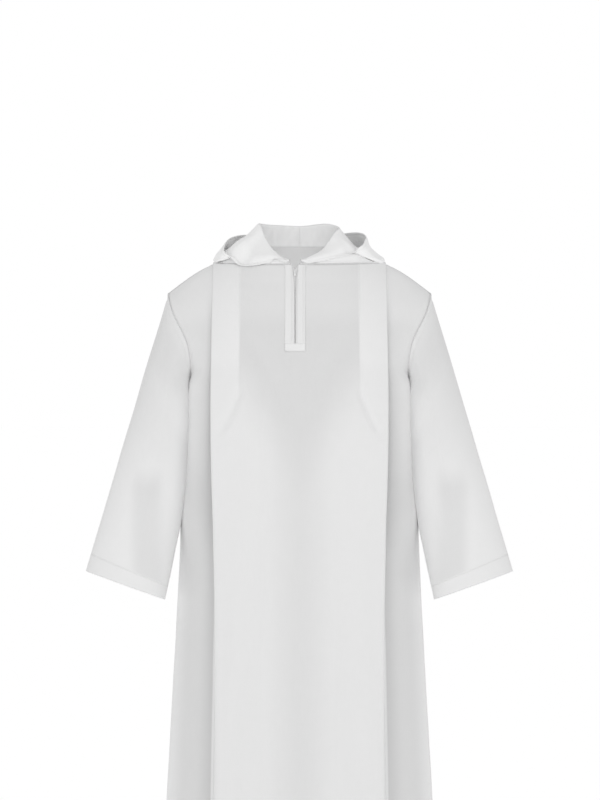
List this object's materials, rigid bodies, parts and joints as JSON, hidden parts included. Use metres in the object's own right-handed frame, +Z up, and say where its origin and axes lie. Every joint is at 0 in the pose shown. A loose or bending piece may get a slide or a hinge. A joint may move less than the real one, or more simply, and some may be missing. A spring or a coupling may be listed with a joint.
{
  "type": "hooded alb robe with a zip at the neck",
  "caption": "Full-length white alb with set-in sleeves, a knife pleat down each front, a quarter zip under a plain placket, and a hood that lies back over the shoulders.",
  "frame": {"origin": "middle of the neck base on the wearer's centre line, level with the top of the zip, where the shoulders and neck hold the garment", "axes": "+Z up, the front faces -Y, +X is the wearer's left"},
  "size_m": [0.874, 0.3597, 1.5014],
  "materials": {
    "white_cloth": "matt white plain-woven cloth, lightly brushed",
    "placket_cloth": "the same cloth folded double, pressed flat",
    "zip_tape": "white woven zip tape",
    "zip_metal": "white enamel, satin"
  },
  "bodies": {
    "alb": {"front": "white_cloth", "back": "white_cloth", "yoke": "white_cloth", "sleeve_right": "white_cloth", "sleeve_left": "white_cloth", "hood_right": "white_cloth", "hood_left": "white_cloth", "placket": "placket_cloth", "zip_tape_right": "zip_tape", "zip_tape_left": "zip_tape", "zip_slider": "zip_metal"},
    "pull": {"zip_pull": "zip_metal"}
  },
  "joints": [
    {"name": "zip_pull_swing", "type": "hinge", "parent": "alb", "child": "pull", "pos_m": [-0.009, -0.09521, -0.01852], "axis": [-1, 0, 0], "range_deg": [0, 150]}
  ]
}
